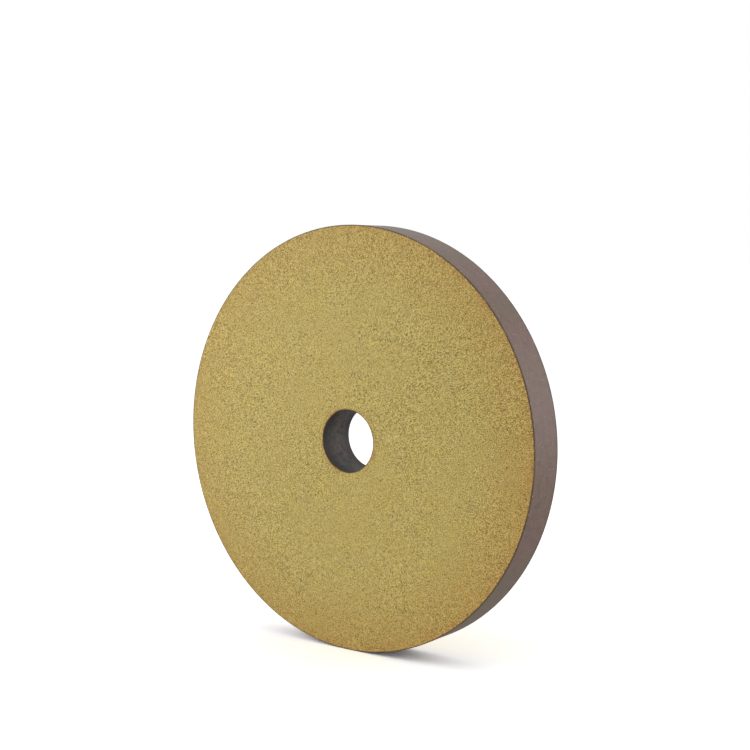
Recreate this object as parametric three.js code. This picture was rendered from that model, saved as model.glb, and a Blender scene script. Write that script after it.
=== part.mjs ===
// A resin-bonded diamond grinding wheel: a moulded core ring, an abrasive rim joined to it by a
// grit-free transition layer, a bush in the bore, and on each side a glass cloth under a facing.
// Millimetres. The wheel's axis is Y, the front face looks along -Y, and the wheel stands on its rim.
import * as THREE from "three";

// The whole wheel
const wheelDiameter = 150;
const wheelThickness = 15;
const boreDiameter = 22;
const segments = 96;

// Facings, which cover both sides from the bore to the rim
const facingThickness = 0.4;
const edgeBreak = 0.2;

// Glass cloths, let in under the facings
const clothThickness = 0.6;

// Abrasive rim and the layer that joins it to the core
const rimDepth = 10;
const transitionDepth = 2;

// Keying ribs of the transition layer, in grooves around the core
const ribCount = 2;
const ribPitch = 6;
const ribHeight = 1.2;
const ribFootWidth = 3;
const ribCrestWidth = 2;

// Bush and the collar that holds it in the core
const bushWall = 2;
const collarHeight = 1.5;
const collarFootWidth = 5;
const collarCrestWidth = 4;

// Radii, from the rim inwards
const outerRadius = wheelDiameter / 2;
const rimInnerRadius = outerRadius - rimDepth;
const coreRadius = rimInnerRadius - transitionDepth;
const boreRadius = boreDiameter / 2;
const bushRadius = boreRadius + bushWall;

// Half thicknesses, from the faces inwards
const faceLevel = wheelThickness / 2;
const rimLevel = faceLevel - facingThickness;
const coreLevel = rimLevel - clothThickness;

const looks = {
  facing: { color: 0xb7a160, roughness: 0.75 },
  cloth: { color: 0xcfc8ae, roughness: 0.6 },
  abrasive: { color: 0x7f6f67, roughness: 0.55 },
  transition: { color: 0x54483d, roughness: 0.6 },
  core: { color: 0x34312e, roughness: 0.6 },
  bush: { color: 0x3c3936, roughness: 0.5 },
};

// A ring about the Y axis. The outline is a closed loop of [radius, height] points in either direction.
// The lathe starts half a segment round, so that the wheel stands on a flat.
function ring(name, outline, look) {
  const points = outline.map(([radius, height]) => new THREE.Vector2(radius, height));
  if (THREE.ShapeUtils.isClockWise(points)) {
    points.reverse();
  }
  points.push(points[0].clone());
  const geometry = new THREE.LatheGeometry(points, segments, Math.PI / segments);
  const mesh = new THREE.Mesh(geometry, new THREE.MeshStandardMaterial({ ...look, metalness: 0 }));
  mesh.name = name;
  return mesh;
}

// An outline drawn for the rear side, put on the front (side -1) or left at the rear (side 1).
function onSide(outline, side) {
  return outline.map(([radius, height]) => [radius, side * height]);
}

// One trapezoid step out of a line at baseRadius, as four points from -Y to +Y.
function step(baseRadius, crestRadius, centre, footWidth, crestWidth) {
  return [
    [baseRadius, centre - footWidth / 2],
    [crestRadius, centre - crestWidth / 2],
    [crestRadius, centre + crestWidth / 2],
    [baseRadius, centre + footWidth / 2],
  ];
}

// The keyed line that the core and the transition layer share, from -Y to +Y.
function keyedLine() {
  const centres = Array.from({ length: ribCount }, (_, i) => (i - (ribCount - 1) / 2) * ribPitch);
  return [
    [coreRadius, -coreLevel],
    ...centres.flatMap((centre) =>
      step(coreRadius, coreRadius - ribHeight, centre, ribFootWidth, ribCrestWidth),
    ),
    [coreRadius, coreLevel],
  ];
}

// The line around the bush's collar that the bush and the core share, from -Y to +Y.
function collarLine() {
  return step(bushRadius, bushRadius + collarHeight, 0, collarFootWidth, collarCrestWidth);
}

function facing(name, side) {
  const outline = [
    [boreRadius, rimLevel],
    [boreRadius, faceLevel - edgeBreak],
    [boreRadius + edgeBreak, faceLevel],
    [outerRadius - edgeBreak, faceLevel],
    [outerRadius, faceLevel - edgeBreak],
    [outerRadius, rimLevel],
  ];
  return ring(name, onSide(outline, side), looks.facing);
}

function cloth(name, side) {
  const outline = [
    [bushRadius, coreLevel],
    [bushRadius, rimLevel],
    [rimInnerRadius, rimLevel],
    [rimInnerRadius, coreLevel],
  ];
  return ring(name, onSide(outline, side), looks.cloth);
}

function abrasiveRim() {
  const outline = [
    [rimInnerRadius, -rimLevel],
    [outerRadius, -rimLevel],
    [outerRadius, rimLevel],
    [rimInnerRadius, rimLevel],
  ];
  return ring("abrasive_rim", outline, looks.abrasive);
}

function transitionLayer() {
  const outline = [
    ...keyedLine(),
    [rimInnerRadius, coreLevel],
    [rimInnerRadius, -coreLevel],
  ];
  return ring("transition_layer", outline, looks.transition);
}

function core() {
  const outline = [
    ...keyedLine(),
    [bushRadius, coreLevel],
    ...collarLine().reverse(),
    [bushRadius, -coreLevel],
  ];
  return ring("core", outline, looks.core);
}

function boreBush() {
  const outline = [
    [bushRadius, -rimLevel],
    ...collarLine(),
    [bushRadius, rimLevel],
    [boreRadius, rimLevel],
    [boreRadius, -rimLevel],
  ];
  return ring("bore_bush", outline, looks.bush);
}

const wheel = new THREE.Group();
wheel.add(
  facing("front_facing", -1),
  facing("rear_facing", 1),
  cloth("front_cloth", -1),
  cloth("rear_cloth", 1),
  abrasiveRim(),
  transitionLayer(),
  core(),
  boreBush(),
);

export default wheel;
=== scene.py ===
import math

import bmesh
import bpy
from mathutils import Matrix, Vector, noise


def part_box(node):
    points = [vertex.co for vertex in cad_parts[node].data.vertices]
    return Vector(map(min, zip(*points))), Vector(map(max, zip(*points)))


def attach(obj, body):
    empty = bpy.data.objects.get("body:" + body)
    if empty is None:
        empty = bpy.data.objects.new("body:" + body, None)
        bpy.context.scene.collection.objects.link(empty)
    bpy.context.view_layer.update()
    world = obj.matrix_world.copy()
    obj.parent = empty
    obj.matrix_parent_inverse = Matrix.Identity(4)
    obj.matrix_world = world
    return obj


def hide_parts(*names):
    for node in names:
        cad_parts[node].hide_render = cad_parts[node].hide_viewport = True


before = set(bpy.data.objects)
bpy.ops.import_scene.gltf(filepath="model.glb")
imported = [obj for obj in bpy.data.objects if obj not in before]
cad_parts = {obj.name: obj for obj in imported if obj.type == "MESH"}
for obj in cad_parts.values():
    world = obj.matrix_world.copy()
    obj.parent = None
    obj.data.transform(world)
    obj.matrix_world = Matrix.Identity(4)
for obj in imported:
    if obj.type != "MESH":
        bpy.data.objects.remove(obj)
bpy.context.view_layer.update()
print("frame loaded")

millimetre = 0.001
wedges = 24  # every ring's steps are a multiple of this
mergeDistance = 0.001 * millimetre
sharpAngle = 40  # degrees between faces that stay crisp


def linear(hexColour):
    # sRGB hex to the linear colour that the shaders use
    channels = [int(hexColour[i:i + 2], 16) / 255 for i in (1, 3, 5)]
    return [c / 12.92 if c <= 0.04045 else ((c + 0.055) / 1.055) ** 2.4 for c in channels] + [1.0]


def perMetre(size):
    # texture scale that gives features of that many millimetres
    return 1 / (size * millimetre)


def addNode(tree, kind, inputs=None, **settings):
    # an input is a value, or the output socket to link it to
    node = tree.nodes.new(kind)
    for name, value in settings.items():
        setattr(node, name, value)
    for key, value in (inputs or {}).items():
        if isinstance(value, bpy.types.NodeSocket):
            tree.links.new(value, node.inputs[key])
        else:
            node.inputs[key].default_value = value
    return node


def unitNoise(place, size):
    # smooth noise from about 0 to 1, with features of that many millimetres
    return (1 + noise.noise(place * perMetre(size))) / 2


def newMaterial(name):
    material = bpy.data.materials.new(name)
    material.use_nodes = True
    material.node_tree.nodes.clear()
    return material, material.node_tree


def ringSize(node):
    # inner radius, outer radius, and where the ring begins and ends along the axis
    radii = [math.hypot(v.co.x, v.co.z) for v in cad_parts[node].data.vertices]
    low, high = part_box(node)
    return min(radii), max(radii), low.y, high.y


def spread(start, end, spacing):
    # evenly spaced places from start to end, about that far apart
    count = max(1, round(abs(end - start) / spacing))
    return [start + (end - start) * i / count for i in range(count + 1)]


def quarterArc(centre, radius, startAngle, count):
    # points on a quarter turn against the clock, in (radius, height)
    angles = [startAngle + math.pi / 2 * i / count for i in range(count + 1)]
    return [(centre[0] + radius * math.cos(a), centre[1] + radius * math.sin(a)) for a in angles]


def spunRing(outline, steps):
    # a closed outline of (radius, height) points, spun once round the wheel's axis
    # one wedge is spun in steps and then copied round, which is far quicker than one long spin
    mesh = bmesh.new()
    verts = [mesh.verts.new((radius, height, 0)) for radius, height in outline]
    edges = [mesh.edges.new(pair) for pair in zip(verts, verts[1:] + verts[:1])]
    bmesh.ops.spin(mesh, geom=verts + edges, cent=(0, 0, 0), axis=(0, 1, 0),
                   angle=math.tau / wedges, steps=steps // wedges)
    wedge = mesh.verts[:] + mesh.edges[:] + mesh.faces[:]
    bmesh.ops.spin(mesh, geom=wedge, cent=(0, 0, 0), axis=(0, 1, 0),
                   angle=math.tau * (wedges - 1) / wedges, steps=wedges - 1, use_duplicate=True)
    bmesh.ops.remove_doubles(mesh, verts=mesh.verts, dist=mergeDistance)
    bmesh.ops.recalc_face_normals(mesh, faces=mesh.faces)
    return mesh


def finishPiece(mesh, name, material, replaced):
    data = bpy.data.meshes.new(name)
    mesh.to_mesh(data)
    mesh.free()
    data.shade_smooth()
    data.set_sharp_from_angle(angle=math.radians(sharpAngle))
    data.materials.append(material)
    piece = bpy.data.objects.new(name, data)
    bpy.context.scene.collection.objects.link(piece)
    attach(piece, "root")
    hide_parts(replaced)
    print("made", name, len(data.polygons), "faces")
    return piece


# sizes that the pieces share, read from the frame
boreRadius, wheelRadius, frontFace, frontFacingBack = ringSize("front_facing")
rearFacingBack, rearFace = ringSize("rear_facing")[2:]
rimInner, rimOuter, rimFront, rimRear = ringSize("abrasive_rim")


# The facing is phenolic resin, pressed against cloth while it cured and left as moulded: a matte
# mustard with a felted grain of short strokes, olive grit specks, and browning from the oven.
facingLook = {
    "base": "#c3ab5a",
    # painted highlight on the tops of the strokes
    "paleHighlight": "#e8d27a",
    # painted shade in the pits between the strokes
    "pitShade": "#7f6c2e",
    "speck": "#655728",
    "mauve": "#bea765",
    "ochre": "#c4a853",
    "browned": "#b6822f",
    "stain": "#b4742c",
    "cutEdge": "#563d22",
    "cutPale": "#8f7038",
    "strokeSize": 0.165,         # millimetres across a stroke
    "strokeStretch": 2.7,
    "strokeShares": {60: 0.45, 15: 0.1, -30: 0.1, -75: 0.1},  # turn from upright: least share
    "strokeFocus": 4,           # how sharply a stroke favours the radius
    "grainDetail": 1.0,
    "clumpSize": 1.3,
    "clumpShare": 0.12,
    "grainRange": (0.95, 1.355),   # summed noise at the bottom of a pit and on top of a stroke
    "pitShadeRange": (0.52, 0.14),
    "pitShadeShare": 1.0,
    "topHighlightRange": (0.5, 0.82),
    "topHighlightShare": 0.65,
    "speckSpacing": 1.8,
    "speckSize": 0.4,
    "speckCore": 0.2,           # full strength within this
    "speckChance": (0.35, 1.0),
    "speckShare": 0.9,
    "mottleSize": 5.0,
    "mottleDetail": 3.0,
    "mottleRoughness": 0.6,
    "mottleRange": (0.25, 0.5, 0.75),
    "browningWidth": 26.0,      # millimetres in from the rim
    "browningAngle": -25,       # the side that is browner, in degrees up from +X
    "browningRange": (0.36, 0.82),
    "stainWidth": 3.6,
    "boreStainWidth": 1.6,
    "stainWander": 2.2,
    "stainRange": (0.35, 0.95),
    "boreStainShare": 0.85,
    "cutWidth": 0.5,
    "cutCore": 0.125,
    "roughness": (0.76, 0.56),  # in a pit and on top of a stroke
    "ior": 1.5,
    "bumpDepth": 0.08,
}


def makeFacingMaterial():
    look = facingLook
    material, tree = newMaterial("phenolicFacingPressedMatte")
    place = addNode(tree, "ShaderNodeTexCoord").outputs["Object"]

    parts = addNode(tree, "ShaderNodeSeparateXYZ", {0: place})
    flat = addNode(tree, "ShaderNodeCombineXYZ", {"X": parts.outputs["X"], "Z": parts.outputs["Z"]})
    radius = addNode(tree, "ShaderNodeVectorMath", {0: flat.outputs[0]}, operation="LENGTH").outputs["Value"]
    outward = addNode(tree, "ShaderNodeVectorMath", {0: flat.outputs[0]}, operation="NORMALIZE")

    # the felted grain: strokes in four directions, each one stronger where it runs along the radius,
    # on top of looser clumps
    clump = addNode(tree, "ShaderNodeTexNoise", {
        "Vector": place,
        "Scale": perMetre(look["clumpSize"]),
        "Detail": look["grainDetail"],
    })
    summed = addNode(tree, "ShaderNodeMath", {
        0: clump.outputs["Fac"], 1: look["clumpShare"],
    }, operation="MULTIPLY")
    for degrees, share in look["strokeShares"].items():
        turn = math.radians(degrees)
        turned = addNode(tree, "ShaderNodeMapping", {
            "Vector": place,
            "Rotation": (0, turn, 0),
            "Scale": (1, 1, look["strokeStretch"]),
        }, vector_type="TEXTURE")
        stroke = addNode(tree, "ShaderNodeTexNoise", {
            "Vector": turned.outputs["Vector"],
            "Scale": perMetre(look["strokeSize"]),
            "Detail": look["grainDetail"],
        })
        along = addNode(tree, "ShaderNodeVectorMath", {
            0: outward.outputs[0], 1: (math.sin(turn), 0, math.cos(turn)),
        }, operation="DOT_PRODUCT")
        along = addNode(tree, "ShaderNodeMath", {0: along.outputs["Value"]}, operation="ABSOLUTE")
        along = addNode(tree, "ShaderNodeMath", {
            0: along.outputs[0], 1: look["strokeFocus"],
        }, operation="POWER")
        weight = addNode(tree, "ShaderNodeMath", {0: along.outputs[0], 1: share}, operation="ADD")
        summed = addNode(tree, "ShaderNodeMath", {
            0: stroke.outputs["Fac"], 1: weight.outputs[0], 2: summed.outputs[0],
        }, operation="MULTIPLY_ADD")
    grain = addNode(tree, "ShaderNodeMapRange", {
        "Value": summed.outputs[0],
        "From Min": look["grainRange"][0],
        "From Max": look["grainRange"][1],
    }).outputs[0]

    # small patches of tint
    mottle = addNode(tree, "ShaderNodeTexNoise", {
        "Vector": place,
        "Scale": perMetre(look["mottleSize"]),
        "Detail": look["mottleDetail"],
        "Roughness": look["mottleRoughness"],
    }).outputs["Fac"]
    towardsMauve = addNode(tree, "ShaderNodeMapRange", {
        "Value": mottle,
        "From Min": look["mottleRange"][1],
        "From Max": look["mottleRange"][2],
    })
    towardsOchre = addNode(tree, "ShaderNodeMapRange", {
        "Value": mottle,
        "From Min": look["mottleRange"][1],
        "From Max": look["mottleRange"][0],
    })
    colour = addNode(tree, "ShaderNodeMix", {
        0: towardsMauve.outputs[0], 6: linear(look["base"]), 7: linear(look["mauve"]),
    }, data_type="RGBA")
    colour = addNode(tree, "ShaderNodeMix", {
        0: towardsOchre.outputs[0], 6: colour.outputs[2], 7: linear(look["ochre"]),
    }, data_type="RGBA")

    # browner towards the rim, and more so towards the right and slightly low
    browningSideAngle = math.radians(look["browningAngle"])
    towardsBrowningSide = addNode(tree, "ShaderNodeVectorMath", {
        0: flat.outputs[0], 1: (math.cos(browningSideAngle), 0, math.sin(browningSideAngle)),
    }, operation="DOT_PRODUCT").outputs["Value"]
    sideBrowning = addNode(tree, "ShaderNodeMapRange", {
        "Value": towardsBrowningSide,
        "From Min": -wheelRadius,
        "From Max": wheelRadius,
        "To Min": look["browningRange"][0],
        "To Max": look["browningRange"][1],
    })
    browned = addNode(tree, "ShaderNodeMapRange", {
        "Value": radius,
        "From Min": wheelRadius - look["browningWidth"] * millimetre,
        "From Max": wheelRadius,
    }, interpolation_type="SMOOTHSTEP")
    browned = addNode(tree, "ShaderNodeMath", {0: browned.outputs[0], 1: sideBrowning.outputs[0]},
                      operation="MULTIPLY")
    colour = addNode(tree, "ShaderNodeMix", {
        0: browned.outputs[0], 6: colour.outputs[2], 7: linear(look["browned"]),
    }, data_type="RGBA")

    # stained along the rim and round the bore, with an edge that wanders
    wander = addNode(tree, "ShaderNodeMapRange", {
        "Value": mottle,
        "From Min": look["mottleRange"][0],
        "From Max": look["mottleRange"][2],
        "To Min": -look["stainWander"] * millimetre,
        "To Max": look["stainWander"] * millimetre,
    })
    outwards = addNode(tree, "ShaderNodeMath", {0: radius, 1: wander.outputs[0]}, operation="ADD")
    rimStain = addNode(tree, "ShaderNodeMapRange", {
        "Value": outwards.outputs[0],
        "From Min": wheelRadius - look["stainWidth"] * millimetre,
        "From Max": wheelRadius,
    })
    sideStainShare = addNode(tree, "ShaderNodeMapRange", {
        "Value": towardsBrowningSide,
        "From Min": -wheelRadius,
        "From Max": wheelRadius,
        "To Min": look["stainRange"][0],
        "To Max": look["stainRange"][1],
    })
    rimStain = addNode(tree, "ShaderNodeMath", {0: rimStain.outputs[0], 1: sideStainShare.outputs[0]},
                       operation="MULTIPLY")
    inwards = addNode(tree, "ShaderNodeMath", {0: radius, 1: wander.outputs[0]}, operation="SUBTRACT")
    boreStain = addNode(tree, "ShaderNodeMapRange", {
        "Value": inwards.outputs[0],
        "From Min": boreRadius + look["boreStainWidth"] * millimetre,
        "From Max": boreRadius,
        "To Max": look["boreStainShare"],
    })
    stain = addNode(tree, "ShaderNodeMath", {0: rimStain.outputs[0], 1: boreStain.outputs[0]},
                    operation="MAXIMUM")
    colour = addNode(tree, "ShaderNodeMix", {
        0: stain.outputs[0], 6: colour.outputs[2], 7: linear(look["stain"]),
    }, data_type="RGBA")

    # painted shade in the pits between the strokes and a painted highlight on their tops
    pitShade = addNode(tree, "ShaderNodeMapRange", {
        "Value": grain,
        "From Min": look["pitShadeRange"][0],
        "From Max": look["pitShadeRange"][1],
        "To Max": look["pitShadeShare"],
    })
    # the tops of the strokes get a painted highlight
    top = addNode(tree, "ShaderNodeMapRange", {
        "Value": grain,
        "From Min": look["topHighlightRange"][0],
        "From Max": look["topHighlightRange"][1],
        "To Max": look["topHighlightShare"],
    })
    colour = addNode(tree, "ShaderNodeMix", {
        0: pitShade.outputs[0], 6: colour.outputs[2], 7: linear(look["pitShade"]),
    }, data_type="RGBA")
    colour = addNode(tree, "ShaderNodeMix", {
        0: top.outputs[0], 6: colour.outputs[2], 7: linear(look["paleHighlight"]),
    }, data_type="RGBA")

    # grit that shows through the skin
    grit = addNode(tree, "ShaderNodeTexVoronoi", {
        "Vector": place, "Scale": perMetre(look["speckSpacing"]),
    })
    near = addNode(tree, "ShaderNodeMapRange", {
        "Value": grit.outputs["Distance"],
        "From Min": look["speckSize"] / look["speckSpacing"],
        "From Max": look["speckCore"] / look["speckSpacing"],
    })
    chance = addNode(tree, "ShaderNodeSeparateColor", {0: grit.outputs["Color"]})
    kept = addNode(tree, "ShaderNodeMapRange", {
        "Value": chance.outputs[0],
        "From Min": look["speckChance"][0],
        "From Max": look["speckChance"][1],
        "To Max": look["speckShare"],
    })
    speck = addNode(tree, "ShaderNodeMath", {0: near.outputs[0], 1: kept.outputs[0]},
                    operation="MULTIPLY")
    colour = addNode(tree, "ShaderNodeMix", {
        0: speck.outputs[0], 6: colour.outputs[2], 7: linear(look["speck"]),
    }, data_type="RGBA")

    # the skin's own cut edge at the rim and in the bore
    cutOutside = addNode(tree, "ShaderNodeMapRange", {
        "Value": radius,
        "From Min": wheelRadius - look["cutWidth"] * millimetre,
        "From Max": wheelRadius - look["cutCore"] * millimetre,
    })
    cutInside = addNode(tree, "ShaderNodeMapRange", {
        "Value": radius,
        "From Min": boreRadius + look["cutWidth"] * millimetre,
        "From Max": boreRadius + look["cutCore"] * millimetre,
    })
    cut = addNode(tree, "ShaderNodeMath", {0: cutOutside.outputs[0], 1: cutInside.outputs[0]},
                  operation="MAXIMUM")
    worn = addNode(tree, "ShaderNodeMapRange", {
        "Value": mottle,
        "From Min": look["mottleRange"][1],
        "From Max": look["mottleRange"][2],
    })
    cutColour = addNode(tree, "ShaderNodeMix", {
        0: worn.outputs[0], 6: linear(look["cutEdge"]), 7: linear(look["cutPale"]),
    }, data_type="RGBA")
    colour = addNode(tree, "ShaderNodeMix", {
        0: cut.outputs[0], 6: colour.outputs[2], 7: cutColour.outputs[2],
    }, data_type="RGBA")

    height = addNode(tree, "ShaderNodeMath", {0: grain, 1: speck.outputs[0]}, operation="SUBTRACT")
    bump = addNode(tree, "ShaderNodeBump", {
        "Height": height.outputs[0], "Distance": look["bumpDepth"] * millimetre,
    })
    roughness = addNode(tree, "ShaderNodeMapRange", {
        "Value": grain, "To Min": look["roughness"][0], "To Max": look["roughness"][1],
    })
    shader = addNode(tree, "ShaderNodeBsdfPrincipled", {
        "Base Color": colour.outputs[2],
        "Roughness": roughness.outputs[0],
        "IOR": look["ior"],
        "Normal": bump.outputs[0],
    })
    addNode(tree, "ShaderNodeOutputMaterial", {"Surface": shader.outputs[0]})
    return material


facingShape = {
    "steps": 768,            # round the wheel
    "ringSpacing": 0.56,     # millimetres between rings of the grid
    "edgeRound": 0.2,
    "edgeSteps": 3,
    "reliefSize": 1.6,
    "reliefDepth": 0.02,
    "wavinessSize": 18.0,
    "reliefRoughness": 0.7,
    "reliefLacunarity": 2.1,
    "reliefOctaves": 3,
    "wavinessDepth": 0.05,
    "flatTolerance": 0.01,
    "skinLoss": 0.03,        # keeps the highest point of the relief under the true face
    "fadeAtEdge": 0.8,
}


def facingOutline(back, face):
    # drawn for a skin whose face is at +Y, then mirrored where it looks the other way
    shape = facingShape
    side = 1 if face > back else -1
    top = abs(face)
    bottom = abs(back)
    rounding = shape["edgeRound"] * millimetre
    flat = spread(boreRadius + rounding, wheelRadius - rounding, shape["ringSpacing"] * millimetre)
    innerArc = quarterArc((boreRadius + rounding, top - rounding), rounding, math.pi / 2, shape["edgeSteps"])
    outerArc = quarterArc((wheelRadius - rounding, top - rounding), rounding, 0, shape["edgeSteps"])
    outline = [(boreRadius, bottom)]
    outline += reversed(innerArc)
    outline += [(radius, top) for radius in flat[1:-1]]
    outline += reversed(outerArc)
    outline += [(wheelRadius, bottom)]
    return [(radius, side * height) for radius, height in outline]


def pressRelief(mesh, face):
    # the cloth's print and the mould's slight waviness, in the face only
    shape = facingShape
    side = 1 if face > 0 else -1
    for vert in mesh.verts:
        if abs(vert.co.y - face) > shape["flatTolerance"] * millimetre:
            continue
        radius = math.hypot(vert.co.x, vert.co.z)
        edge = min(radius - boreRadius, wheelRadius - radius) / (shape["fadeAtEdge"] * millimetre)
        place = Vector((vert.co.x, face, vert.co.z))
        clothPrint = noise.fractal(place * perMetre(shape["reliefSize"]), shape["reliefRoughness"],
                                   shape["reliefLacunarity"], shape["reliefOctaves"])
        wave = noise.noise(place * perMetre(shape["wavinessSize"]))
        depth = shape["reliefDepth"] * clothPrint + shape["wavinessDepth"] * wave + shape["skinLoss"]
        vert.co.y -= side * millimetre * min(1, max(0, edge)) * depth


def makeFacing(name, node, back, face, material):
    mesh = spunRing(facingOutline(back, face), facingShape["steps"])
    pressRelief(mesh, face)
    return finishPiece(mesh, name, material, node)


# The rim is diamond grit in resin, pressed hot, then ground true: satin taupe, with mauve and
# grey-olive bands where the grinding cut a little more or less, fine grit and small voids.
rimLook = {
    "base": "#72594b",
    "mauve": "#75574f",
    "olive": "#6c5948",
    "dark": "#584639",
    "grit": "#a0938b",
    "void": "#4a403c",
    "joint": "#4d3c30",
    "bandSize": 22.0,
    "bandAcross": 0.25,      # bands run across the rim, so they change slowly that way
    "bandDetail": 3.0,
    "bandRange": (0.4, 0.49, 0.58),
    "mottleSize": 2.4,
    "mottleDetail": 5.0,
    "mottleRoughness": 0.65,
    "mottleRange": (0.55, 0.3),
    "mottleShare": 0.85,
    "gritSpacing": 1.0,
    "gritSize": 0.32,        # real grit is 0.05 to 0.1, drawn coarser so that it shows
    "gritCore": 1 / 3,       # share of each grit that is at full strength
    "gritChance": (0.6, 1.0),
    "gritShare": 0.85,
    "voidShare": 0.8,
    "jointWidth": 0.9,       # resin-rich and darker next to the facings
    "jointShare": 0.6,
    "chip": "#b3a390",
    "chipWidth": 0.8,        # and nicked here and there along the very edge
    "chipSize": 0.4,
    "chipCore": 0.2,
    "chipSpacing": 1.4,
    "chipChance": (0.72, 0.95),
    "markSpacing": 0.35,
    "markStretch": 0.02,
    "markDetail": 2.0,
    "roughness": (0.36, 0.52),
    "ior": 1.55,
    "bumpDepth": 0.012,
}


def makeRimMaterial():
    look = rimLook
    material, tree = newMaterial("resinBondDiamondGround")
    place = addNode(tree, "ShaderNodeTexCoord").outputs["Object"]

    # bands of tint round the rim
    acrossRim = addNode(tree, "ShaderNodeMapping", {
        "Vector": place, "Scale": (1, look["bandAcross"], 1),
    })
    band = addNode(tree, "ShaderNodeTexNoise", {
        "Vector": acrossRim.outputs[0],
        "Scale": perMetre(look["bandSize"]),
        "Detail": look["bandDetail"],
    })
    towardsMauve = addNode(tree, "ShaderNodeMapRange", {
        "Value": band.outputs["Fac"],
        "From Min": look["bandRange"][1],
        "From Max": look["bandRange"][2],
    })
    towardsOlive = addNode(tree, "ShaderNodeMapRange", {
        "Value": band.outputs["Fac"],
        "From Min": look["bandRange"][1],
        "From Max": look["bandRange"][0],
    })
    colour = addNode(tree, "ShaderNodeMix", {
        0: towardsMauve.outputs[0], 6: linear(look["base"]), 7: linear(look["mauve"]),
    }, data_type="RGBA")
    colour = addNode(tree, "ShaderNodeMix", {
        0: towardsOlive.outputs[0], 6: colour.outputs[2], 7: linear(look["olive"]),
    }, data_type="RGBA")
    mottle = addNode(tree, "ShaderNodeTexNoise", {
        "Vector": place,
        "Scale": perMetre(look["mottleSize"]),
        "Detail": look["mottleDetail"],
        "Roughness": look["mottleRoughness"],
    }).outputs["Fac"]
    shade = addNode(tree, "ShaderNodeMapRange", {
        "Value": mottle,
        "From Min": look["mottleRange"][0],
        "From Max": look["mottleRange"][1],
        "To Max": look["mottleShare"],
    })
    colour = addNode(tree, "ShaderNodeMix", {
        0: shade.outputs[0], 6: colour.outputs[2], 7: linear(look["dark"]),
    }, data_type="RGBA")

    # some cells of a fine Voronoi hold a bright grain and others a void
    grit = addNode(tree, "ShaderNodeTexVoronoi", {
        "Vector": place, "Scale": perMetre(look["gritSpacing"]),
    })
    near = addNode(tree, "ShaderNodeMapRange", {
        "Value": grit.outputs["Distance"],
        "From Min": look["gritSize"] / look["gritSpacing"],
        "From Max": look["gritSize"] * look["gritCore"] / look["gritSpacing"],
    })
    chance = addNode(tree, "ShaderNodeSeparateColor", {0: grit.outputs["Color"]})
    spots = []
    for channel, share in ((0, look["gritShare"]), (1, look["voidShare"])):
        kept = addNode(tree, "ShaderNodeMapRange", {
            "Value": chance.outputs[channel],
            "From Min": look["gritChance"][0],
            "From Max": look["gritChance"][1],
            "To Max": share,
        })
        spots.append(addNode(tree, "ShaderNodeMath", {0: near.outputs[0], 1: kept.outputs[0]},
                             operation="MULTIPLY").outputs[0])
    bright, hollow = spots
    colour = addNode(tree, "ShaderNodeMix", {
        0: bright, 6: colour.outputs[2], 7: linear(look["grit"]),
    }, data_type="RGBA")
    colour = addNode(tree, "ShaderNodeMix", {
        0: hollow, 6: colour.outputs[2], 7: linear(look["void"]),
    }, data_type="RGBA")

    # darker along both joints with the facings
    parts = addNode(tree, "ShaderNodeSeparateXYZ", {0: place})
    fromMiddle = addNode(tree, "ShaderNodeMath", {0: parts.outputs["Y"]}, operation="ABSOLUTE")
    joint = addNode(tree, "ShaderNodeMapRange", {
        "Value": fromMiddle.outputs[0],
        "From Min": rimRear - look["jointWidth"] * millimetre,
        "From Max": rimRear,
        "To Max": look["jointShare"],
    })
    colour = addNode(tree, "ShaderNodeMix", {
        0: joint.outputs[0], 6: colour.outputs[2], 7: linear(look["joint"]),
    }, data_type="RGBA")

    nicks = addNode(tree, "ShaderNodeTexVoronoi", {
        "Vector": place, "Scale": perMetre(look["chipSpacing"]),
    })
    nickChance = addNode(tree, "ShaderNodeSeparateColor", {0: nicks.outputs["Color"]})
    nicked = addNode(tree, "ShaderNodeMapRange", {
        "Value": nickChance.outputs[0],
        "From Min": look["chipChance"][0],
        "From Max": look["chipChance"][1],
    })
    nickNear = addNode(tree, "ShaderNodeMapRange", {
        "Value": nicks.outputs["Distance"],
        "From Min": look["chipSize"] / look["chipSpacing"],
        "From Max": look["chipCore"] / look["chipSpacing"],
    })
    atEdge = addNode(tree, "ShaderNodeMapRange", {
        "Value": fromMiddle.outputs[0],
        "From Min": rimRear - look["chipWidth"] * millimetre,
        "From Max": rimRear - look["chipSize"] * millimetre,
    })
    chip = addNode(tree, "ShaderNodeMath", {0: nicked.outputs[0], 1: nickNear.outputs[0]},
                   operation="MULTIPLY")
    chip = addNode(tree, "ShaderNodeMath", {0: chip.outputs[0], 1: atEdge.outputs[0]}, operation="MULTIPLY")
    colour = addNode(tree, "ShaderNodeMix", {
        0: chip.outputs[0], 6: colour.outputs[2], 7: linear(look["chip"]),
    }, data_type="RGBA")

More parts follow.
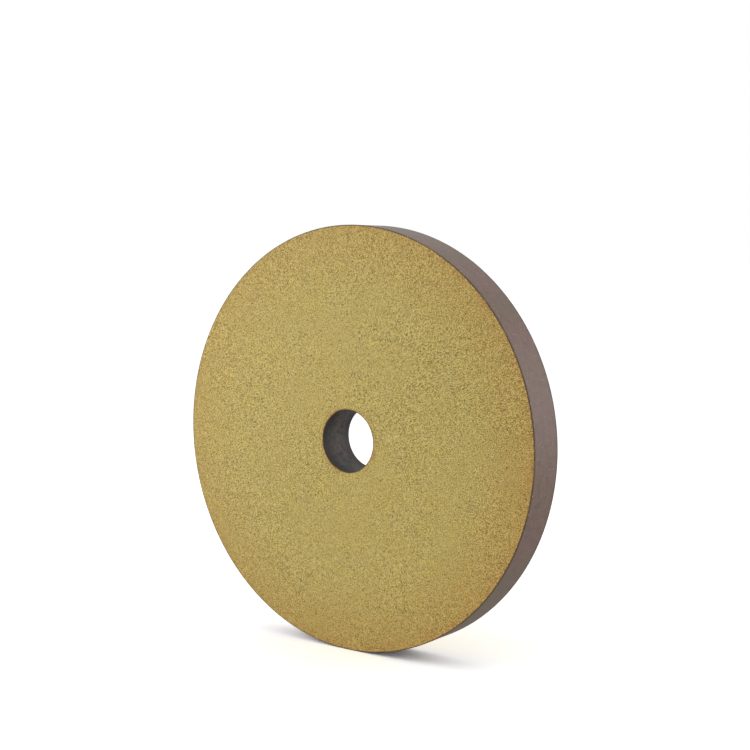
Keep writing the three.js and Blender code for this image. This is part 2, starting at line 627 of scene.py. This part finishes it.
    # grinding marks run round the wheel, so they change only along its axis
    alongAxis = addNode(tree, "ShaderNodeMapping", {
        "Vector": place, "Scale": (look["markStretch"], 1, look["markStretch"]),
    })
    marks = addNode(tree, "ShaderNodeTexNoise", {
        "Vector": alongAxis.outputs[0],
        "Scale": perMetre(look["markSpacing"]),
        "Detail": look["markDetail"],
    })
    height = addNode(tree, "ShaderNodeMath", {0: mottle, 1: marks.outputs["Fac"]}, operation="ADD")
    height = addNode(tree, "ShaderNodeMath", {0: height.outputs[0], 1: hollow}, operation="SUBTRACT")
    bump = addNode(tree, "ShaderNodeBump", {
        "Height": height.outputs[0], "Distance": look["bumpDepth"] * millimetre,
    })
    roughness = addNode(tree, "ShaderNodeMapRange", {
        "Value": mottle, "To Min": look["roughness"][0], "To Max": look["roughness"][1],
    })
    shader = addNode(tree, "ShaderNodeBsdfPrincipled", {
        "Base Color": colour.outputs[2],
        "Roughness": roughness.outputs[0],
        "IOR": look["ior"],
        "Normal": bump.outputs[0],
    })
    addNode(tree, "ShaderNodeOutputMaterial", {"Surface": shader.outputs[0]})
    return material


rimShape = {
    "steps": 720,
    "bandSpacing": 0.7,      # millimetres across the rim
    "wearSize": 9.0,
    "wearDepth": 0.03,
}


def makeRim(material):
    shape = rimShape
    across = spread(rimFront, rimRear, shape["bandSpacing"] * millimetre)
    outline = [(rimInner, rimFront)] + [(rimOuter, height) for height in across] + [(rimInner, rimRear)]
    mesh = spunRing(outline, shape["steps"])
    for vert in mesh.verts:
        radius = math.hypot(vert.co.x, vert.co.z)
        if radius < rimOuter - millimetre:
            continue
        worn = unitNoise(vert.co, shape["wearSize"])
        scale = 1 - shape["wearDepth"] * millimetre * worn / radius
        vert.co.x *= scale
        vert.co.z *= scale
    return finishPiece(mesh, "abrasiveRim", material, "abrasive_rim")


# The bush is charcoal phenolic, moulded round a pin: dull and dark with cloudy patches, and darker towards
# its mouths, which is painted shade.
bushLook = {
    "base": "#5b534e",
    "warm": "#65564f",
    "cool": "#555b55",
    "dark": "#231d1b",
    # painted shade towards the bore's mouths
    "mouthShade": "#3a2f2a",
    "patchSize": 4.0,
    "patchDetail": 4.0,
    "patchRoughness": 0.6,
    "patchRange": (0.44, 0.5, 0.56),
    "fineSize": 1.8,
    "fineDetail": 5.0,
    "fineRoughness": 0.7,
    "fineRange": (0.54, 0.4),
    "fineShare": 0.85,
    "mouthShadeDepth": 6.0,       # painted shade reaches this many millimetres in from each end
    "mouthShadeShare": 1.0,
    "roughness": (0.5, 0.8),
    "ior": 1.58,
    "bumpDepth": 0.03,
}

# the core and the transition layer get no painted mouth shade: it equals their base
coreLook = dict(bushLook, base="#34312e", warm="#3a322e", cool="#30332f", dark="#242120", mouthShade="#34312e",
                patchSize=12.0)
transitionLook = dict(bushLook, base="#54483d", warm="#5b493c", cool="#4d4a3e", dark="#3b322a",
                      mouthShade="#54483d", patchSize=8.0)


def makeMouldedPhenolic(name, look):
    material, tree = newMaterial(name)
    place = addNode(tree, "ShaderNodeTexCoord").outputs["Object"]
    patch = addNode(tree, "ShaderNodeTexNoise", {
        "Vector": place,
        "Scale": perMetre(look["patchSize"]),
        "Detail": look["patchDetail"],
        "Roughness": look["patchRoughness"],
    })
    towardsWarm = addNode(tree, "ShaderNodeMapRange", {
        "Value": patch.outputs["Fac"],
        "From Min": look["patchRange"][1],
        "From Max": look["patchRange"][2],
    })
    towardsCool = addNode(tree, "ShaderNodeMapRange", {
        "Value": patch.outputs["Fac"],
        "From Min": look["patchRange"][1],
        "From Max": look["patchRange"][0],
    })
    colour = addNode(tree, "ShaderNodeMix", {
        0: towardsWarm.outputs[0], 6: linear(look["base"]), 7: linear(look["warm"]),
    }, data_type="RGBA")
    colour = addNode(tree, "ShaderNodeMix", {
        0: towardsCool.outputs[0], 6: colour.outputs[2], 7: linear(look["cool"]),
    }, data_type="RGBA")
    parts = addNode(tree, "ShaderNodeSeparateXYZ", {0: place})
    fromMiddle = addNode(tree, "ShaderNodeMath", {0: parts.outputs["Y"]}, operation="ABSOLUTE")
    # painted shade: the bore wall darkens towards both of its mouths
    mouthShade = addNode(tree, "ShaderNodeMapRange", {
        "Value": fromMiddle.outputs[0],
        "From Min": rimRear - look["mouthShadeDepth"] * millimetre,
        "From Max": rimRear,
        "To Max": look["mouthShadeShare"],
    }, interpolation_type="SMOOTHSTEP")
    colour = addNode(tree, "ShaderNodeMix", {
        0: mouthShade.outputs[0], 6: colour.outputs[2], 7: linear(look["mouthShade"]),
    }, data_type="RGBA")
    fine = addNode(tree, "ShaderNodeTexNoise", {
        "Vector": place,
        "Scale": perMetre(look["fineSize"]),
        "Detail": look["fineDetail"],
        "Roughness": look["fineRoughness"],
    }).outputs["Fac"]
    shade = addNode(tree, "ShaderNodeMapRange", {
        "Value": fine,
        "From Min": look["fineRange"][0],
        "From Max": look["fineRange"][1],
        "To Max": look["fineShare"],
    })
    colour = addNode(tree, "ShaderNodeMix", {
        0: shade.outputs[0], 6: colour.outputs[2], 7: linear(look["dark"]),
    }, data_type="RGBA")
    bump = addNode(tree, "ShaderNodeBump", {
        "Height": fine, "Distance": look["bumpDepth"] * millimetre,
    })
    roughness = addNode(tree, "ShaderNodeMapRange", {
        "Value": fine, "To Min": look["roughness"][0], "To Max": look["roughness"][1],
    })
    shader = addNode(tree, "ShaderNodeBsdfPrincipled", {
        "Base Color": colour.outputs[2],
        "Roughness": roughness.outputs[0],
        "IOR": look["ior"],
        "Normal": bump.outputs[0],
    })
    addNode(tree, "ShaderNodeOutputMaterial", {"Surface": shader.outputs[0]})
    return material


bushShape = {
    "steps": 264,
    "bandSpacing": 0.6,
    "unevenSize": 4.0,
    "unevenDepth": 0.03,
    "wallTolerance": 0.5,    # anything nearer the bore than this is the wall
}


def makeBush(material):
    shape = bushShape
    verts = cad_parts["bore_bush"].data.vertices
    wallLimit = boreRadius + shape["wallTolerance"] * millimetre
    # the outside keeps the frame's own outline, with its collar
    points = {(round(math.hypot(v.co.x, v.co.z), 6), round(v.co.y, 6)) for v in verts}
    outside = sorted((p for p in points if p[0] > wallLimit), key=lambda p: p[1])
    wall = spread(rimRear, rimFront, shape["bandSpacing"] * millimetre)
    mesh = spunRing(outside + [(boreRadius, height) for height in wall], shape["steps"])
    for vert in mesh.verts:
        radius = math.hypot(vert.co.x, vert.co.z)
        if radius > wallLimit:
            continue
        uneven = unitNoise(vert.co, shape["unevenSize"])
        scale = 1 + shape["unevenDepth"] * millimetre * uneven / radius
        vert.co.x *= scale
        vert.co.z *= scale
    return finishPiece(mesh, "boreBush", material, "bore_bush")


# The glass cloth is an open plain weave of glass roving, dipped in phenolic resin: pale straw, glossy
# where the resin has wet it, with fine filaments along each flat yarn.
clothLook = {
    "base": "#cdbf93",
    "bright": "#e2d9b8",
    "resin": "#a8843f",
    "filamentSize": 0.12,    # real filaments are 0.01, drawn coarser so that they show
    "filamentStretch": 60.0,
    "filamentDetail": 1.0,
    "filamentRange": (0.35, 0.65),
    "resinSize": 6.0,
    "resinDetail": 3.0,
    "resinRange": (0.45, 0.7),
    "resinShare": 0.6,
    "roughness": (0.3, 0.5),
    "ior": 1.52,
    "bumpDepth": 0.02,
}


def makeClothMaterial():
    look = clothLook
    material, tree = newMaterial("glassClothInResin")
    # along the yarn, and across it, as the mesh says
    yarnPlace = addNode(tree, "ShaderNodeAttribute", attribute_name="yarnPlace").outputs["Vector"]
    stretched = addNode(tree, "ShaderNodeMapping", {
        "Vector": yarnPlace, "Scale": (1 / look["filamentStretch"], 1, 1),
    })
    filament = addNode(tree, "ShaderNodeTexNoise", {
        "Vector": stretched.outputs["Vector"],
        "Scale": perMetre(look["filamentSize"]),
        "Detail": look["filamentDetail"],
    }).outputs["Fac"]
    lit = addNode(tree, "ShaderNodeMapRange", {
        "Value": filament,
        "From Min": look["filamentRange"][0],
        "From Max": look["filamentRange"][1],
    })
    colour = addNode(tree, "ShaderNodeMix", {
        0: lit.outputs[0], 6: linear(look["base"]), 7: linear(look["bright"]),
    }, data_type="RGBA")
    # the resin sits unevenly, and is browner where it is thick
    place = addNode(tree, "ShaderNodeTexCoord").outputs["Object"]
    pooled = addNode(tree, "ShaderNodeTexNoise", {
        "Vector": place, "Scale": perMetre(look["resinSize"]), "Detail": look["resinDetail"],
    })
    pooled = addNode(tree, "ShaderNodeMapRange", {
        "Value": pooled.outputs["Fac"],
        "From Min": look["resinRange"][0],
        "From Max": look["resinRange"][1],
        "To Max": look["resinShare"],
    }).outputs[0]
    colour = addNode(tree, "ShaderNodeMix", {
        0: pooled, 6: colour.outputs[2], 7: linear(look["resin"]),
    }, data_type="RGBA")
    roughness = addNode(tree, "ShaderNodeMapRange", {
        "Value": pooled, "To Min": look["roughness"][1], "To Max": look["roughness"][0],
    })
    bump = addNode(tree, "ShaderNodeBump", {
        "Height": filament, "Distance": look["bumpDepth"] * millimetre,
    })
    shader = addNode(tree, "ShaderNodeBsdfPrincipled", {
        "Base Color": colour.outputs[2],
        "Roughness": roughness.outputs[0],
        "IOR": look["ior"],
        "Normal": bump.outputs[0],
    })
    addNode(tree, "ShaderNodeOutputMaterial", {"Surface": shader.outputs[0]})
    return material


clothShape = {
    "pitch": 3.5,
    "yarnWidth": 1.5,
    "yarnThickness": 0.28,
    "yarnSides": 8,
    "stepsPerPitch": 4,
    "slack": 0.3,            # an over-yarn and an under-yarn lie this far apart, middle to middle
    "edgeGap": 0.3,          # the cut ends stop short of the ring's own edges
}


def yarnRuns(offset, inner, outer):
    # where a yarn that passes that far from the axis lies on the ring, as starts and ends along it
    half = clothShape["yarnWidth"] * millimetre / 2
    outside = abs(offset) + half
    if outside >= outer:
        return []
    reach = math.sqrt(outer ** 2 - outside ** 2)
    inside = max(0, abs(offset) - half)
    if inside >= inner:
        return [(-reach, reach)]
    gap = math.sqrt(inner ** 2 - inside ** 2)
    return [(-reach, -gap), (gap, reach)]


def addYarn(mesh, yarnPlace, offset, run, across, phase):
    # one flat yarn; across is true for the yarns that run along Z
    shape = clothShape
    pitch = shape["pitch"] * millimetre
    start, end = run
    steps = math.ceil((end - start) / pitch * shape["stepsPerPitch"])
    known = len(mesh.verts)
    # a bar 1 mm across, which the yarn's width and thickness then scale
    barRadius = millimetre / 2
    tube = bmesh.ops.create_cone(mesh, cap_ends=True, segments=shape["yarnSides"], radius1=barRadius,
                                 radius2=barRadius, depth=end - start)["verts"]
    sides = {edge for vert in tube for edge in vert.link_edges
             if edge.verts[0].co.z * edge.verts[1].co.z < 0}
    bmesh.ops.subdivide_edges(mesh, edges=list(sides), cuts=steps - 1)
    for vert in mesh.verts[known:]:
        along = vert.co.z + (start + end) / 2
        sideways = vert.co.x * shape["yarnWidth"]
        wave = shape["slack"] * millimetre / 2 * math.cos(math.pi * along / pitch)
        height = vert.co.y * shape["yarnThickness"] + phase * wave
        vert[yarnPlace] = (along, sideways, offset)
        place = (sideways + offset, height, along) if across else (along, height, sideways + offset)
        vert.co = Vector(place)


def weaveCloth(node):
    shape = clothShape
    inner, outer, low, high = ringSize(node)
    inner += shape["edgeGap"] * millimetre
    outer -= shape["edgeGap"] * millimetre
    pitch = shape["pitch"] * millimetre
    mesh = bmesh.new()
    yarnPlace = mesh.verts.layers.float_vector.new("yarnPlace")
    count = int(outer / pitch)
    for across in (False, True):
        for i in range(-count, count + 1):
            phase = (-1) ** i * (-1 if across else 1)
            for run in yarnRuns(i * pitch, inner, outer):
                addYarn(mesh, yarnPlace, i * pitch, run, across, phase)
    bmesh.ops.translate(mesh, verts=mesh.verts, vec=(0, (low + high) / 2, 0))
    bmesh.ops.recalc_face_normals(mesh, faces=mesh.faces)
    return mesh


def makeCloths(material):
    # both are cut from one weave, and the rear one lies the same way up
    frontWeave = weaveCloth("front_cloth")
    rearWeave = frontWeave.copy()
    shift = ringSize("rear_cloth")[2] - ringSize("front_cloth")[2]
    bmesh.ops.translate(rearWeave, verts=rearWeave.verts, vec=(0, shift, 0))
    finishPiece(frontWeave, "frontCloth", material, "front_cloth")
    finishPiece(rearWeave, "rearCloth", material, "rear_cloth")


studio = {
    "floorWidth": 60.0,
    "floorSeen": 1.4,
    "floorBounce": 0.62,     # the card sends this much light back on to the wheel
    "backdrop": 1.0,
    "ambient": 0.8,
    "lights": {
        "faceSoftbox": {"power": 1.05, "width": 0.35, "place": (-0.4, -0.25, 0.12)},
        "rimSoftbox": {"power": 0.45, "width": 0.35, "place": (0.38, 0.26, 0.1)},
    },
}


def makeFloor():
    mesh = bmesh.new()
    bmesh.ops.create_grid(mesh, x_segments=1, y_segments=1, size=studio["floorWidth"] / 2)
    bmesh.ops.translate(mesh, verts=mesh.verts, vec=(0, 0, -wheelRadius))
    data = bpy.data.meshes.new("floor")
    mesh.to_mesh(data)
    mesh.free()
    material, tree = newMaterial("whiteStudioCard")
    seen = addNode(tree, "ShaderNodeLightPath").outputs["Is Camera Ray"]
    brightness = addNode(tree, "ShaderNodeMapRange", {
        "Value": seen, "To Min": studio["floorBounce"], "To Max": studio["floorSeen"],
    })
    card = addNode(tree, "ShaderNodeBsdfDiffuse", {"Color": brightness.outputs[0]})
    addNode(tree, "ShaderNodeOutputMaterial", {"Surface": card.outputs[0]})
    data.materials.append(material)
    floor = bpy.data.objects.new("floor", data)
    bpy.context.scene.collection.objects.link(floor)


def makeWorld():
    world = bpy.data.worlds.new("studio")
    bpy.context.scene.world = world
    world.use_nodes = True
    tree = world.node_tree
    tree.nodes.clear()
    # seen directly the studio is plain white, while it lights the wheel less
    seen = addNode(tree, "ShaderNodeLightPath").outputs["Is Camera Ray"]
    strength = addNode(tree, "ShaderNodeMapRange", {
        "Value": seen, "To Min": studio["ambient"], "To Max": studio["backdrop"],
    })
    background = addNode(tree, "ShaderNodeBackground", {
        "Color": linear("#ffffff"), "Strength": strength.outputs[0],
    })
    addNode(tree, "ShaderNodeOutputWorld", {"Surface": background.outputs[0]})


def makeLights():
    for name, setting in studio["lights"].items():
        light = bpy.data.lights.new(name, "AREA")
        light.energy = setting["power"]
        light.size = setting["width"]
        turned = Vector(setting["place"]).to_track_quat("Z", "Y").to_matrix().to_4x4()
        lamp = bpy.data.objects.new(name, light)
        lamp.matrix_world = Matrix.Translation(setting["place"]) @ turned
        bpy.context.scene.collection.objects.link(lamp)


cameraView = {
    "azimuth": 37.38,        # degrees to the right of straight on
    "elevation": 7.19,
    "distance": 475.7,       # millimetres from the front face's centre
    "right": 3.26,
    "up": 2.66,
    "lens": 65.2,
    "shift": (0.0241, 0.0782),
}


def makeCamera():
    view = cameraView
    turn = math.radians(view["azimuth"])
    tilt = math.radians(view["elevation"])
    right = Vector((math.cos(turn), math.sin(turn), 0))
    back = Vector((math.sin(turn) * math.cos(tilt), -math.cos(turn) * math.cos(tilt), math.sin(tilt)))
    up = back.cross(right)
    camera = bpy.data.cameras.new("camera")
    camera.lens = view["lens"]
    camera.shift_x, camera.shift_y = view["shift"]
    camera.clip_start = 0.01
    camera.clip_end = 200
    place = Vector((0, frontFace, 0))
    place += millimetre * (view["right"] * right + view["up"] * up + view["distance"] * back)
    rig = bpy.data.objects.new("camera", camera)
    rig.matrix_world = Matrix.Translation(place) @ Matrix((right, up, back)).transposed().to_4x4()
    bpy.context.scene.collection.objects.link(rig)
    bpy.context.scene.camera = rig


makeCamera()
makeWorld()
makeFloor()
makeLights()
bpy.context.scene.view_settings.view_transform = "Standard"
print("studio ready")

facingMaterial = makeFacingMaterial()
makeFacing("frontFacing", "front_facing", frontFacingBack, frontFace, facingMaterial)
makeFacing("rearFacing", "rear_facing", rearFacingBack, rearFace, facingMaterial)
makeRim(makeRimMaterial())
makeBush(makeMouldedPhenolic("phenolicBushMoulded", bushLook))

makeCloths(makeClothMaterial())

innerMaterials = {
    "core": makeMouldedPhenolic("phenolicCoreMoulded", coreLook),
    "transition_layer": makeMouldedPhenolic("resinTransitionLayer", transitionLook),
}
for nodeName, nodeMaterial in innerMaterials.items():
    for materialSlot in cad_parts[nodeName].material_slots:
        materialSlot.material = nodeMaterial
print("inner pieces done")

bpy.context.view_layer.update()
